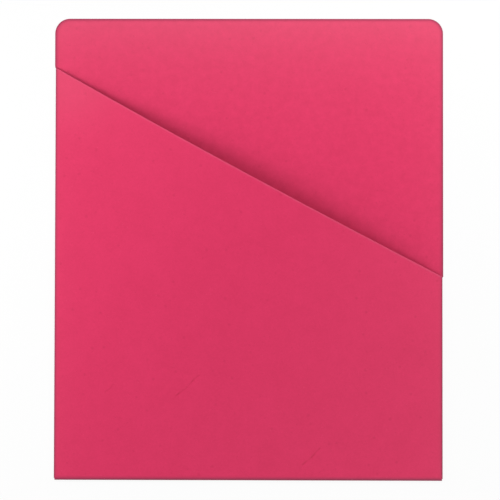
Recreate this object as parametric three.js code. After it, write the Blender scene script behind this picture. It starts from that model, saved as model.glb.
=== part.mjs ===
// A letter-size file jacket with a slash-cut pocket, lying on its back: one die-cut card blank,
// folded along its foot and both sides, and closed by a line of adhesive on each side flap.
// Millimetres. +X runs across the jacket to the right, +Y up it and +Z out of its front.
// The origin lies under the middle of the jacket, on the surface it rests on.
import * as THREE from "three";

// The blank
const JACKET_WIDTH = 248; // across the die-cut edges of the back panel, above the pocket
const JACKET_HEIGHT = 294.2; // from the outside of the foot fold to the top edge
const CARD = 0.28; // card stock of 11 points
const TOP_CORNER_RADIUS = 9.5;

// The slash-cut mouth, measured down from the top edge at each side
const SLASH_DROP_LEFT = 31.2;
const SLASH_DROP_RIGHT = 165.1;
const SLASH_DIP = 2.3; // how far the cut sags below a straight line, half way along

// The folds
const SIDE_FOLD_INSET = 0.5; // how far a side fold stands inside the die-cut edge above it
const SIDE_FOLD_GAP = 0.3; // between the back panel and a flap, where the card turns round

// The glue flaps, which fold in behind the front panel
const FLAP_WIDTH = 19;
const FLAP_FOOT_CLEARANCE = 0.5; // from the foot fold up to the flap
const FLAP_FOOT_TAPER = 6; // how much higher the inner edge starts than the fold does
const FLAP_TOP_CLEARANCE = 0.3; // from the step in the outline down to the flap
const FLAP_TOP_TAPER = 19; // how much lower the inner edge ends than the fold does

// The adhesive between each flap and the front panel
const GLUE = 0.1;
const GLUE_WIDTH = 11;
const GLUE_END_MARGIN = 5; // from the flap's slanted ends
const GLUE_CLEARANCE = 0.05; // clearance on either side of the film

// The front panel, which bows up at its mouth
const PANEL_EDGE_INSET = 0.5; // from the outside of a side fold to the panel's own cut edge
const LIP_RISE = 11.6; // at the crest of the mouth, above where the sides are held down
const CREST_AT = 0.62; // share of the width at which the crest lies, from the left
const LEFT_POWER = 1.4; // a higher power makes the arch slimmer on that side of the crest
const RIGHT_POWER = 0.9;
const RISE_POWER = 1.5; // how the bow fades from the mouth down to the foot fold

// Facets of the curved pieces
const FOLD_STEPS = 10;
const CORNER_STEPS = 12;
const PANEL_COLUMNS = 40;
const PANEL_ROWS = 32;
const FLAP_COLUMNS = 4;
const FLAP_ROWS = 28;
const GLUE_COLUMNS = 2;

const CARD_COLOUR = 0xde3f67;
const GLUE_COLOUR = 0xe9dfc4;

const halfWidth = JACKET_WIDTH / 2;
const topY = JACKET_HEIGHT / 2;
const sideFoldX = halfWidth - SIDE_FOLD_INSET - CARD - SIDE_FOLD_GAP / 2;
const panelEdgeX = halfWidth - SIDE_FOLD_INSET - PANEL_EDGE_INSET;
// The closed pocket is as deep as a flap with its fold gap under it and its adhesive over it.
const pocketGap = SIDE_FOLD_GAP + CARD + GLUE + 2 * GLUE_CLEARANCE;
const footFoldY = -topY + CARD + pocketGap / 2;
const flapFootY = footFoldY + FLAP_FOOT_CLEARANCE;
const stepRadius = halfWidth - sideFoldX;

const cardMaterial = () =>
  new THREE.MeshStandardMaterial({ color: CARD_COLOUR, roughness: 0.85, metalness: 0 });

const glueMaterial = () =>
  new THREE.MeshStandardMaterial({ color: GLUE_COLOUR, roughness: 0.4, metalness: 0 });

// Height of the slash cut above or below the origin, at a place across the jacket.
function slashY(x) {
  const share = (x + halfWidth) / JACKET_WIDTH;
  const drop = THREE.MathUtils.lerp(SLASH_DROP_LEFT, SLASH_DROP_RIGHT, share);
  return topY - drop - SLASH_DIP * 4 * share * (1 - share);
}

// Height of the step in the outline, where the die-cut edge gives way to a side fold: the lowest
// point of the slash cut above that step.
const stepY = (side) => Math.min(slashY(side * halfWidth), slashY(side * sideFoldX));

// The arch of the mouth: 0 at either side fold and 1 at the crest.
function archAcross(x) {
  const share = THREE.MathUtils.clamp((x + sideFoldX) / (2 * sideFoldX), 0, 1);
  if (share < CREST_AT) return Math.sin((Math.PI / 2) * (share / CREST_AT)) ** LEFT_POWER;
  return Math.sin((Math.PI / 2) * ((1 - share) / (1 - CREST_AT))) ** RIGHT_POWER;
}

// How far the pocket's front stands above its flat, closed place.
function bow(x, y) {
  const share = THREE.MathUtils.clamp((y - footFoldY) / (slashY(x) - footFoldY), 0, 1);
  return LIP_RISE * archAcross(x) * share ** RISE_POWER;
}

// A closed sheet over a grid: under(u, v) gives each point of its lower side, for u and v from 0 to 1,
// u to the right and v upwards.
function sheetGeometry(columns, rows, thickness, under) {
  const positions = [];
  const index = [];
  const layer = (columns + 1) * (rows + 1);
  const at = (column, row) => row * (columns + 1) + column;
  for (const lift of [0, thickness]) {
    for (let row = 0; row <= rows; row++) {
      for (let column = 0; column <= columns; column++) {
        const point = under(column / columns, row / rows);
        positions.push(point.x, point.y, point.z + lift);
      }
    }
  }
  const quad = (a, b, c, d) => index.push(a, b, c, a, c, d);
  for (let row = 0; row < rows; row++) {
    for (let column = 0; column < columns; column++) {
      const [a, b] = [at(column, row), at(column + 1, row)];
      const [c, d] = [at(column + 1, row + 1), at(column, row + 1)];
      index.push(a, c, b, a, d, c);
      quad(layer + a, layer + b, layer + c, layer + d);
    }
  }
  const wall = (a, b) => quad(a, b, layer + b, layer + a);
  for (let column = 0; column < columns; column++) {
    wall(at(column, 0), at(column + 1, 0));
    wall(at(column + 1, rows), at(column, rows));
  }
  for (let row = 0; row < rows; row++) {
    wall(at(columns, row), at(columns, row + 1));
    wall(at(0, row + 1), at(0, row));
  }
  const geometry = new THREE.BufferGeometry();
  geometry.setAttribute("position", new THREE.Float32BufferAttribute(positions, 3));
  geometry.setIndex(index);
  geometry.computeVertexNormals();
  return geometry;
}

// The section of card turning half way round a fold, from the back panel's plane to the plane above it.
// The fold stands out to the left of x = 0.
function foldSection(gap) {
  const centreHeight = CARD + gap / 2;
  const section = new THREE.Shape();
  section.absarc(0, centreHeight, gap / 2 + CARD, 1.5 * Math.PI, 0.5 * Math.PI, true);
  section.absarc(0, centreHeight, gap / 2, 0.5 * Math.PI, 1.5 * Math.PI, false);
  section.closePath();
  return section;
}

// A fold of this length, centred on its own middle, with its round side facing outward.
function foldMesh(gap, length, outward) {
  const geometry = new THREE.ExtrudeGeometry(foldSection(gap), {
    depth: length,
    steps: 1,
    curveSegments: FOLD_STEPS,
    bevelEnabled: false,
  });
  const inward = outward.clone().negate();
  const up = new THREE.Vector3(0, 0, 1);
  const along = inward.clone().cross(up);
  geometry.translate(0, 0, -length / 2);
  geometry.applyMatrix4(new THREE.Matrix4().makeBasis(inward, up, along));
  return new THREE.Mesh(geometry, cardMaterial());
}

function backPanel() {
  const outline = new THREE.Shape();
  const [stepLeftY, stepRightY] = [stepY(-1), stepY(1)];
  outline.moveTo(-sideFoldX, footFoldY);
  outline.lineTo(sideFoldX, footFoldY);
  outline.lineTo(sideFoldX, stepRightY);
  outline.absarc(sideFoldX, stepRightY + stepRadius, stepRadius, -Math.PI / 2, 0, false);
  const corner = TOP_CORNER_RADIUS;
  outline.absarc(halfWidth - corner, topY - corner, corner, 0, Math.PI / 2, false);
  outline.absarc(-halfWidth + corner, topY - corner, corner, Math.PI / 2, Math.PI, false);
  outline.absarc(-sideFoldX, stepLeftY + stepRadius, stepRadius, Math.PI, 1.5 * Math.PI, false);
  outline.closePath();
  const geometry = new THREE.ExtrudeGeometry(outline, {
    depth: CARD,
    steps: 1,
    curveSegments: CORNER_STEPS,
    bevelEnabled: false,
  });
  return new THREE.Mesh(geometry, cardMaterial());
}

function footFold() {
  const fold = foldMesh(pocketGap, 2 * panelEdgeX, new THREE.Vector3(0, -1, 0));
  fold.position.set(0, footFoldY, 0);
  return fold;
}

// Top of a flap at its fold, which stays clear of the step above it.
const flapTopY = (side) => stepY(side) - FLAP_TOP_CLEARANCE;

function sideFold(side) {
  const [foot, top] = [flapFootY, flapTopY(side)];
  const fold = foldMesh(SIDE_FOLD_GAP, top - foot, new THREE.Vector3(side, 0, 0));
  fold.position.set(side * sideFoldX, (foot + top) / 2, 0);
  return fold;
}

// A point on a strip that runs along a flap. inset runs from 0 at the fold to FLAP_WIDTH.
function flapPoint(side, inset, upShare, endMargin, height) {
  const taper = inset / FLAP_WIDTH;
  const foot = flapFootY + FLAP_FOOT_TAPER * taper + endMargin;
  const top = flapTopY(side) - FLAP_TOP_TAPER * taper - endMargin;
  const x = side * (sideFoldX - inset);
  const y = THREE.MathUtils.lerp(foot, top, upShare);
  return new THREE.Vector3(x, y, height + bow(x, y));
}

// Runs from left to right across a strip, whichever side its fold is on.
const insetAt = (side, u, near, far) => THREE.MathUtils.lerp(near, far, side < 0 ? u : 1 - u);

function glueFlap(side) {
  const height = CARD + SIDE_FOLD_GAP;
  const geometry = sheetGeometry(FLAP_COLUMNS, FLAP_ROWS, CARD, (u, v) =>
    flapPoint(side, insetAt(side, u, 0, FLAP_WIDTH), v, 0, height),
  );
  return new THREE.Mesh(geometry, cardMaterial());
}

function glueLine(side) {
  const height = CARD + SIDE_FOLD_GAP + CARD + GLUE_CLEARANCE;
  const near = (FLAP_WIDTH - GLUE_WIDTH) / 2;
  const geometry = sheetGeometry(GLUE_COLUMNS, FLAP_ROWS, GLUE, (u, v) =>
    flapPoint(side, insetAt(side, u, near, near + GLUE_WIDTH), v, GLUE_END_MARGIN, height),
  );
  return new THREE.Mesh(geometry, glueMaterial());
}

function frontPanel() {
  const geometry = sheetGeometry(PANEL_COLUMNS, PANEL_ROWS, CARD, (u, v) => {
    const x = THREE.MathUtils.lerp(-panelEdgeX, panelEdgeX, u);
    const y = THREE.MathUtils.lerp(footFoldY, slashY(x), v);
    return new THREE.Vector3(x, y, CARD + pocketGap + bow(x, y));
  });
  return new THREE.Mesh(geometry, cardMaterial());
}

const pieces = {
  back_panel: backPanel(),
  front_panel: frontPanel(),
  foot_fold: footFold(),
  left_side_fold: sideFold(-1),
  right_side_fold: sideFold(1),
  left_glue_flap: glueFlap(-1),
  right_glue_flap: glueFlap(1),
  left_glue_line: glueLine(-1),
  right_glue_line: glueLine(1),
};

const jacket = new THREE.Group();
for (const [name, mesh] of Object.entries(pieces)) {
  mesh.name = name;
  jacket.add(mesh);
}

export default jacket;
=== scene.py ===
"""Looks of a slash-pocket file jacket in crimson pink card, laid on its back under soft light.

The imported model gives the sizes. Each class below builds one part of the jacket, or of the studio
round it, and dresses it. Lengths are in metres. X runs across the jacket, Y up it, Z out of its front.
"""

from __future__ import annotations

import logging
import math
from collections.abc import Callable, Iterable
from dataclasses import dataclass
from enum import Enum

import bmesh
import bpy
import numpy as np
from mathutils import Euler, Matrix, Vector

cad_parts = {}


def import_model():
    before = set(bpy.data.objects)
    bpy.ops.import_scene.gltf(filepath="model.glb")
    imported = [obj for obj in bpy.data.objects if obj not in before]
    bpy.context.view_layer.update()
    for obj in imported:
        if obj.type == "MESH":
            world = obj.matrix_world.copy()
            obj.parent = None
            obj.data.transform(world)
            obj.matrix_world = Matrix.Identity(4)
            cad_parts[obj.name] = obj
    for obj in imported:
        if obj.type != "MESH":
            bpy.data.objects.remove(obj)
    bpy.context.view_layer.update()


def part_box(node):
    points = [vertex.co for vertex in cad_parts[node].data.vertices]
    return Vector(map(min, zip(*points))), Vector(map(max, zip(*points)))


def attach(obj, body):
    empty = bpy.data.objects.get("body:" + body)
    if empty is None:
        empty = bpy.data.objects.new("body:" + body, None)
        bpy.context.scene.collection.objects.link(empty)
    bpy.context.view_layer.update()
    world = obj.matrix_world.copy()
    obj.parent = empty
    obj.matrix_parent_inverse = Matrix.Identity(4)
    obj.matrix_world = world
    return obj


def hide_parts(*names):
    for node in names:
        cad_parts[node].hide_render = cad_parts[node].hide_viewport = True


Array = np.ndarray
Colour = tuple[float, float, float]
Key = str | int
Pair = tuple[float, float]
Socket = bpy.types.NodeSocket
Triple = tuple[float, float, float]

LOG = logging.getLogger("file_jacket")
BODY = "root"
MM = 0.001
SHARP_ANGLE = math.radians(50)
ROW_DIGITS = 7


class Side(Enum):
    """The two long edges of the jacket, with the sign of X on each."""

    LEFT = -1
    RIGHT = 1

    @property
    def label(self) -> str:
        """The word that starts the names of this side's pieces."""
        return self.name.lower()


class Slot(Enum):
    """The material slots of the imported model."""

    CARD = "card"
    ADHESIVE = "adhesive"


class FibreTone(Enum):
    """How a loose fibre takes the dye, next to the card it lies in."""

    PALE = "pale"
    DEEP = "deep"


def rising(distance: Array, reach: float | Array) -> Array:
    """Gives 0 up to a distance of 0, then an even rise to 1 at the reach."""
    return np.clip(distance / reach, 0, 1)


def bell(distance: Array, reach: float = 1.0) -> Array:
    """Gives 1 at a distance of 0, which fades to either side as a bell curve does."""
    return np.exp(-((distance / reach) ** 2))


def round_height(share: Array) -> Array:
    """Gives the height of a quarter circle of radius 1, at shares of the way out from its middle."""
    return np.sqrt(1 - np.clip(share, 0, 1) ** 2)


def quarter_turn(parts: int) -> Array:
    """Gives the angles that part a quarter turn evenly, with both of its ends."""
    return np.linspace(0, math.pi / 2, parts + 1)


@dataclass(frozen=True)
class Blank:
    """Sizes of the folded card blank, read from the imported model."""

    half_width: float
    top: float
    card: float
    fold_x: float
    panel_x: float
    foot_y: float
    pocket_gap: float
    flap_gap: float

    @property
    def fold_reach(self) -> float:
        """How far the round side of a side fold reaches across the jacket."""
        return self.fold_x + self.flap_gap / 2 + self.card

    @classmethod
    def from_frame(cls) -> Blank:
        """Reads the sizes of the blank.

        Returns:
            The blank's sizes, in metres.
        """
        back_low, back_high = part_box("back_panel")
        side_fold_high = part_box("right_side_fold")[1]
        foot_fold_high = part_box("foot_fold")[1]
        card = back_high.z
        return cls(
            half_width=back_high.x,
            top=back_high.y,
            card=card,
            fold_x=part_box("right_side_fold")[0].x,
            panel_x=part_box("front_panel")[1].x,
            foot_y=back_low.y,
            pocket_gap=foot_fold_high.z - 2 * card,
            flap_gap=side_fold_high.z - 2 * card,
        )

    def freedom(self, x: Array, y: Array, half_width: float, margin: float) -> Array:
        """Gives how free a panel is to wave: not along its folds, and fully beyond a margin."""
        return rising(half_width - np.abs(x), margin) * rising(y - self.foot_y, margin)


@dataclass(frozen=True)
class Waviness:
    """The slow unevenness of a sheet of card: a few long waves with seeded places and headings."""

    height: float
    shortest: float = 45 * MM
    longest: float = 150 * MM
    waves: int = 7
    seed: int = 11

    def at(self, x: Array, y: Array) -> Array:
        """Gives the unevenness at points of the sheet.

        Args:
            x: Places across the jacket.
            y: Places up the jacket.

        Returns:
            Heights between minus and plus the wave height, about zero on average.
        """
        random = np.random.default_rng(self.seed)
        total = np.zeros_like(x)
        for _ in range(self.waves):
            turn = 2 * math.pi / random.uniform(self.shortest, self.longest)
            heading = random.uniform(0, math.pi)
            start = random.uniform(0, 2 * math.pi)
            total += np.sin(turn * (x * math.cos(heading) + y * math.sin(heading)) + start)
        return self.height * total / self.waves


@dataclass
class Plan:
    """A sheet seen from above: points in its plane, and faces between them that run anticlockwise."""

    points: Array
    faces: list[tuple[int, ...]]

    @classmethod
    def grid(cls, x: Array, y: Array) -> Plan:
        """Fills rows of points with four-sided faces.

        Args:
            x: The points' places across the jacket, with the rows in rising order.
            y: Their places up the jacket.

        Returns:
            The plan, with the points in the order of the rows.
        """
        number = np.arange(x.size).reshape(x.shape)
        corners = (number[:-1, :-1], number[:-1, 1:], number[1:, 1:], number[1:, :-1])
        faces = np.stack([corner.ravel() for corner in corners], -1)
        if x[0, -1] < x[0, 0]:
            faces = faces[:, ::-1]
        return cls(np.stack([x.ravel(), y.ravel()], -1), [tuple(face) for face in faces.tolist()])

    def refined(self, inside: Callable[[Array, Array], Array], size: float) -> Plan:
        """Cuts the faces of one region finer.

        Args:
            inside: Tells whether places across and up the jacket lie in the region.
            size: The longest edge to leave there.

        Returns:
            The finer plan.
        """
        mesh = bmesh.new()
        corners = [mesh.verts.new((x, y, 0.0)) for x, y in self.points.tolist()]
        for face in self.faces:
            mesh.faces.new([corners[corner] for corner in face])
        while True:
            mesh.verts.index_update()
            points = np.array([corner.co[:2] for corner in mesh.verts])
            ends = points[np.array([[corner.index for corner in edge.verts] for edge in mesh.edges])]
            long = np.linalg.norm(ends[:, 1] - ends[:, 0], axis=1) > size
            chosen = np.flatnonzero(long & inside(*ends.mean(1).T))
            if not len(chosen):
                break
            mesh.edges.ensure_lookup_table()
            edges = [mesh.edges[number] for number in chosen]
            bmesh.ops.subdivide_edges(
                mesh, edges=edges, cuts=1, use_grid_fill=True, use_single_edge=True
            )
        faces = [tuple(corner.index for corner in face.verts) for face in mesh.faces]
        mesh.free()
        return Plan(points, faces)

    def rim(self) -> list[tuple[int, int]]:
        """Gives the steps from point to point round the sheet, which only one face takes."""
        steps = {step for face in self.faces for step in zip(face, face[1:] + face[:1])}
        return [(start, end) for start, end in sorted(steps) if (end, start) not in steps]


@dataclass(frozen=True)
class Crease:
    """A short handling crease: a sharp valley with a faint ridge along its upper side."""

    start: Pair
    end: Pair
    depth: float
    half_width: float = 0.42 * MM
    ridge_share: float = 0.7
    ridge_place: float = 1.9
    beads: tuple[float, ...] = (0.3, 0.7)
    bead_length: float = 0.05
    bead_share: float = 0.6
    wander: float = 0.3 * MM
    wander_turns: float = 1.6
    end_fade: float = 0.15
    fine_rings: tuple[Pair, ...] = ((8.0, 1.8), (3.6, 0.5))

    def _along_and_aside(self, x: Array, y: Array) -> tuple[Array, Array]:
        """Measures points against the crease.

        Args:
            x: Places across the jacket.
            y: Places up the jacket.

        Returns:
            Each point's share of the way along the crease, and its distance to the left of it.
        """
        start, end = np.array(self.start), np.array(self.end)
        length = float(np.linalg.norm(end - start))
        heading = (end - start) / length
        along = ((x - start[0]) * heading[0] + (y - start[1]) * heading[1]) / length
        aside = (y - start[1]) * heading[0] - (x - start[0]) * heading[1]
        return along, aside - self.wander * np.sin(self.wander_turns * 2 * math.pi * along)

    def _broken(self, along: Array) -> Array:
        """Gives how sharply the crease bends the card.

        Args:
            along: Shares of the way along the crease.

        Returns:
            Values up to about 1 at the beads, and 0 past the ends.
        """
        reach = rising(along, self.end_fade) * rising(1 - along, self.end_fade)
        beads = sum(bell(along - place, self.bead_length) for place in self.beads)
        return reach * reach * (3 - 2 * reach) * (1 - self.bead_share + self.bead_share * beads)

    def relief(self, x: Array, y: Array) -> Array:
        """Gives the height that the crease adds to the card.

        Args:
            x: Places across the jacket.
            y: Places up the jacket.

        Returns:
            Negative heights in the valley and small positive ones on the ridge.
        """
        along, aside = self._along_and_aside(x, y)
        valley = bell(aside, self.half_width)
        ridge = bell(aside / self.half_width - self.ridge_place)
        return self.depth * self._broken(along) * (self.ridge_share * ridge - valley)

    def painted_light_and_wear(self, x: Array, y: Array) -> Array:
        """Gives how much painted shade darkens the valley, in beads along it."""
        along, aside = self._along_and_aside(x, y)
        return self._broken(along) * bell(aside, self.half_width)

    def refine(self, plan: Plan) -> Plan:
        """Cuts a plan finer round the crease.

        Args:
            plan: The plan of the creased sheet.

        Returns:
            The finer plan, cut in rings whose reach and edges are given in half widths of the crease.
        """
        for reach, size in self.fine_rings:

            def inside(x: Array, y: Array, limit: float = reach * self.half_width) -> Array:
                """Tells whether places lie within the ring."""
                along, aside = self._along_and_aside(x, y)
                return (np.abs(aside) < limit) & (along > 0) & (along < 1)

            plan = plan.refined(inside, size * self.half_width)
        return plan


@dataclass(frozen=True)
class Mouth:
    """The slanted cut along the top of the front panel, and the way the panel bows up to it."""

    blank: Blank
    drop_left: float = 31.2 * MM
    drop_right: float = 165.1 * MM
    dip: float = 2.3 * MM
    rise: float = 11.45 * MM
    crest_at: float = 0.62
    left_power: float = 1.4
    right_power: float = 0.9
    rise_power: float = 1.5
    spring: float = 0.15 * MM
    spring_reach: float = 1.3 * MM
    spring_span: float = 4.0

    @property
    def spring_zone(self) -> float:
        """How far from a fold the spring still bends the sheet, which needs close grid lines."""
        return self.spring_span * self.spring_reach

    def cut_y(self, x: Array) -> Array:
        """Gives the place of the slanted cut.

        Args:
            x: Places across the jacket.

        Returns:
            The cut's places up the jacket.
        """
        share = (x + self.blank.half_width) / (2 * self.blank.half_width)
        drop = self.drop_left + (self.drop_right - self.drop_left) * share
        return self.blank.top - drop - self.dip * 4 * share * (1 - share)

    def step_y(self, side: Side) -> float:
        """Gives the place up the jacket where the die-cut edge gives way to a side fold."""
        reach = side.value * np.array([self.blank.half_width, self.blank.fold_x])
        return float(self.cut_y(reach).min())

    def arch(self, x: Array) -> Array:
        """Gives the arch of the mouth.

        Args:
            x: Places across the jacket.

        Returns:
            Values from 0 at either side fold to 1 at the crest.
        """
        share = rising(x + self.blank.fold_x, 2 * self.blank.fold_x)
        left = np.sin(math.pi / 2 * rising(share, self.crest_at)) ** self.left_power
        right = np.sin(math.pi / 2 * rising(1 - share, 1 - self.crest_at)) ** self.right_power
        return np.where(share < self.crest_at, left, right)

    def lift(self, x: Array, y: Array) -> Array:
        """Gives how far the pocket's front stands above its flat, closed place.

        Args:
            x: Places across the jacket.
            y: Places up the jacket.

        Returns:
            Heights: a quick spring away from each fold, and the slow bow up to the mouth.
        """
        foot = self.blank.foot_y
        share = rising(y - foot, self.cut_y(x) - foot)
        bow = (self.rise - self.spring) * self.arch(x) * share**self.rise_power
        from_side = np.clip(self.blank.fold_x - np.abs(x), 0, None)
        from_foot = np.clip(y - foot, 0, None)
        shoulder = 1 - bell(from_side, self.spring_reach)
        shoulder = shoulder * (1 - bell(from_foot, self.spring_reach))
        return bow + self.spring * shoulder

    def card_middle(self, x: Array, y: Array, gap: float) -> Array:
        """Gives the height of the middle of a sheet of card, which lies over a gap and bows up."""
        # The back panel lies below the gap, and half of the sheet's own card above it.
        return self.blank.card * 1.5 + gap + self.lift(x, y)


def stations(
    low: float,
    high: float,
    step: float,
    zones: Iterable[Triple] = (),
    crowding: float = 3.0,
) -> Array:
    """Places grid lines along one axis, closer together inside some zones.

    Args:
        low: The first line.
        high: The last line.
        step: The usual distance between lines.
        zones: The low end, high end and distance of each closer stretch.
        crowding: How many times closer than the least distance two lines may come where zones meet.

    Returns:
        The lines in rising order.
    """
    lines = [np.linspace(low, high, max(2, round((high - low) / step) + 1))]
    finest = step
    for zone_low, zone_high, zone_step in zones:
        zone_low, zone_high = max(low, zone_low), min(high, zone_high)
        count = max(2, round((zone_high - zone_low) / zone_step) + 1)
        outside = (lines[0] < zone_low - zone_step / 2) | (lines[0] > zone_high + zone_step / 2)
        lines[0] = lines[0][outside]
        lines.append(np.linspace(zone_low, zone_high, count))
        finest = min(finest, zone_step)
    merged = np.unique(np.concatenate([*lines, [low, high]]))
    least = finest / crowding
    kept = [merged[0]]
    for line in merged[1:-1]:
        if line - kept[-1] > least and high - line > least:
            kept.append(line)
    return np.array([*kept, merged[-1]])


@dataclass(frozen=True)
class CutEdge:
    """The rim that a cutting die leaves: slightly crushed, with a painted highlight along a cut, partly
    paler bruised card, and painted shade towards the outline.
    """

    rounding: float = 0.09 * MM
    # Painted highlight along a cut, partly paler bruised card: its reach and fall-off.
    highlight_and_wear_reach: float = 1.5 * MM
    highlight_and_wear_power: float = 1.2
    # Painted shade: the card darkens towards the outline over about this distance.
    rim_shade: float = 1.3 * MM
    reach: float = 2.6 * MM
    corner_lines: int = 4
    rim_lines: int = 7

    def lines(self) -> Array:
        """Places grid lines along a cut edge.

        Returns:
            The distances from the edge at which a sheet needs lines, the edge itself first.
        """
        rounded = self.rounding * (1 - np.cos(quarter_turn(self.corner_lines)))
        rim = np.geomspace(self.rounding, self.reach, self.rim_lines + 1)
        return np.concatenate([rounded, rim[1:]])

    def half_thickness(self, distance: Array, card: float) -> Array:
        """Gives half the sheet's thickness at these distances from the nearest cut edge."""
        return card / 2 - self.rounding * (1 - round_height(1 - distance / self.rounding))

    def highlight_and_wear(self, distance: Array) -> Array:
        """Gives how strongly the painted highlight, partly paler bruised card, shows at these distances
        from a cut that hands part.
        """
        return np.clip(1 - distance / self.highlight_and_wear_reach, 0, 1) ** self.highlight_and_wear_power

    def rim_shaded(self, distance: Array) -> Array:
        """Gives how much painted shade darkens the card at these distances from the jacket's outline."""
        return bell(np.clip(distance, 0, None), self.rim_shade)


@dataclass
class Sheet:
    """A closed sheet of card over a plan, with numbers for each point of the plan."""

    name: str
    plan: Plan
    middle: Array
    half: Array
    marks: dict[str, Array]

    def build(self) -> bpy.types.Object:
        """Makes the sheet's mesh.

        Returns:
            The new object, at the origin, with the marks as point attributes.
        """
        x, y = self.plan.points.T
        count = len(x)
        layers = [np.stack([x, y, self.middle + side * self.half], -1) for side in (-1, 1)]
        faces = [tuple(corner + count for corner in face) for face in self.plan.faces]
        faces += [face[::-1] for face in self.plan.faces]
        faces += [(start, end, end + count, start + count) for start, end in self.plan.rim()]
        mesh = bpy.data.meshes.new(self.name)
        mesh.from_pydata(np.concatenate(layers).tolist(), [], faces)
        for name, values in self.marks.items():
            mark = mesh.attributes.new(name, "FLOAT", "POINT")
            mark.data.foreach_set("value", np.tile(values, 2).astype(np.float32))
        smooth(mesh)
        return add_object(self.name, mesh)


def smooth(mesh: bpy.types.Mesh) -> None:
    """Shades a mesh smoothly, but for edges that bend sharply.

    Args:
        mesh: The mesh to shade.
    """
    mesh.update()
    mesh.shade_smooth()
    mesh.set_sharp_from_angle(angle=SHARP_ANGLE)


def add_object(name: str, data: bpy.types.ID) -> bpy.types.Object:
    """Puts new data into the scene.

    Args:
        name: The new object's name.
        data: Its mesh, lamp or camera.

    Returns:
        The new object, at the origin.
    """
    made = bpy.data.objects.new(name, data)
    bpy.context.scene.collection.objects.link(made)
    return made


class Graph:
    """A short way to write the nodes of a tree, in a material, the sky or a shape alike."""

    def __init__(self, tree: bpy.types.NodeTree) -> None:
        """Starts with a tree, which loses the nodes it has."""
        self.tree = tree
        self.tree.nodes.clear()

    def feed(self, socket: Socket, value: object) -> None:
        """Fills an input.

        Args:
            socket: The input.
            value: An output to link it to, a plain value, or a linear colour without alpha.
        """
        if isinstance(value, Socket):
            self.tree.links.new(value, socket)
        elif socket.type == "RGBA":
            socket.default_value = (*value, 1.0)
        else:
            socket.default_value = value

    def add(
        self, kind: str, values: dict[Key, object] | None = None, **settings: object
    ) -> bpy.types.Node:
        """Adds a node.

        Args:
            kind: Blender's name for the kind of node.
            values: Outputs or plain values for its inputs, by name or number.
            **settings: Properties to set on it.

        Returns:
            The new node.
        """
        node = self.tree.nodes.new(kind)
        for name, value in settings.items():
            setattr(node, name, value)
        for key, value in (values or {}).items():
            self.feed(node.inputs[key], value)
        return node

    def wire(
        self,
        kind: str,
        values: dict[Key, object] | None = None,
        output: Key = 0,
        **settings: object,
    ) -> Socket:
        """Adds a node as add does, and gives its first output or the one that is named."""
        return self.add(kind, values, **settings).outputs[output]

    def math(self, operation: str, *values: object, clamp: bool = False) -> Socket:
        """Adds a calculation.

        Args:
            operation: Blender's name for it, such as MULTIPLY.
            *values: Outputs or numbers, in the order of its inputs.
            clamp: Whether the result is kept between 0 and 1.

        Returns:
            The result.
        """
        settings = {"operation": operation, "use_clamp": clamp}
        return self.wire("ShaderNodeMath", dict(enumerate(values)), **settings)

    def split(self, vector: Socket) -> tuple[Socket, ...]:
        """Gives the X, Y and Z of a vector."""
        return tuple(self.add("ShaderNodeSeparateXYZ", {0: vector}).outputs)

    def combine(self, x: object = 0.0, y: object = 0.0, z: object = 0.0) -> Socket:
        """Makes a vector of three outputs or numbers."""
        return self.wire("ShaderNodeCombineXYZ", {"X": x, "Y": y, "Z": z})

    def seen_as(self, share: object, usual: Socket, special: Socket) -> Socket:
        """Mixes two surfaces or lights, given the share of the second one."""
        return self.wire("ShaderNodeMixShader", {0: share, 1: usual, 2: special})

    def by_camera(self) -> Socket:
        """Tells whether a ray comes straight from the camera."""
        return self.wire("ShaderNodeLightPath", output="Is Camera Ray")


class ShaderGraph(Graph):
    """A short way to write a material's nodes."""

    def __init__(self, name: str) -> None:
        """Starts a material.

        Args:
            name: The material's name.
        """
        self.material = bpy.data.materials.new(name)
        self.material.use_nodes = True
        super().__init__(self.material.node_tree)
        self.output = self.add("ShaderNodeOutputMaterial")
        self.place = self.wire("ShaderNodeTexCoord", output="Object")

    def mark(self, name: str) -> Socket:
        """Reads a number that a sheet carries at its points, which is 0 where it carries none."""
        return self.wire("ShaderNodeAttribute", output="Fac", attribute_name=name)

    def noise(
        self, size: float, detail: float = 2, slimness: float = 1, heading: float = 0
    ) -> Socket:
        """Adds a cloudy pattern.

        Args:
            size: The rough size of its clouds, in metres.
            detail: How many finer layers it has.
            slimness: How many times longer than wide its clouds are.
            heading: Which way they lie, from the X axis, in radians.

        Returns:
            Values about 0.5.
        """
        turned = {
            "Vector": self.place,
            "Rotation": (0, 0, heading),
            "Scale": (1, 1 / slimness, 1 / slimness),
        }
        vector = self.wire("ShaderNodeMapping", turned, vector_type="TEXTURE")
        cloud = {"Vector": vector, "Scale": 1 / size, "Detail": detail}
        return self.wire("ShaderNodeTexNoise", cloud, noise_dimensions="3D")

    def ramp(self, value: Socket, low: float, high: float) -> Socket:
        """Turns a stretch of values smoothly into 0 to 1."""
        stretch = {"Value": value, "From Min": low, "From Max": high}
        return self.wire("ShaderNodeMapRange", stretch, interpolation_type="SMOOTHSTEP")

    def blend(self, factor: object, first: object, second: object) -> Socket:
        """Mixes two colours, given the share of the second one."""
        mixed = {"Factor": factor, "A": first, "B": second}
        return self.wire("ShaderNodeMix", mixed, "Result", data_type="RGBA")

    def bump(self, height: Socket, distance: float, strength: float = 1.0) -> Socket:
        """Turns a pattern of heights into the normal of a rough surface."""
        values = {"Height": height, "Distance": distance, "Strength": strength}
        return self.wire("ShaderNodeBump", values)

    def finish(self, shader: Socket) -> bpy.types.Material:
        """Ends the material with its surface."""
        self.feed(self.output.inputs["Surface"], shader)
        return self.material

    def principled(self, looks: dict[Key, object]) -> bpy.types.Material:
        """Ends the material with a plain surface that has these looks."""
        return self.finish(self.wire("ShaderNodeBsdfPrincipled", looks))


@dataclass(frozen=True)
class Cloud:
    """One layer of unevenness in the card's tone, in every face or in the coarser wire side alone."""

    size: float
    detail: float
    weight: float
    wire_side_only: bool = False


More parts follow.
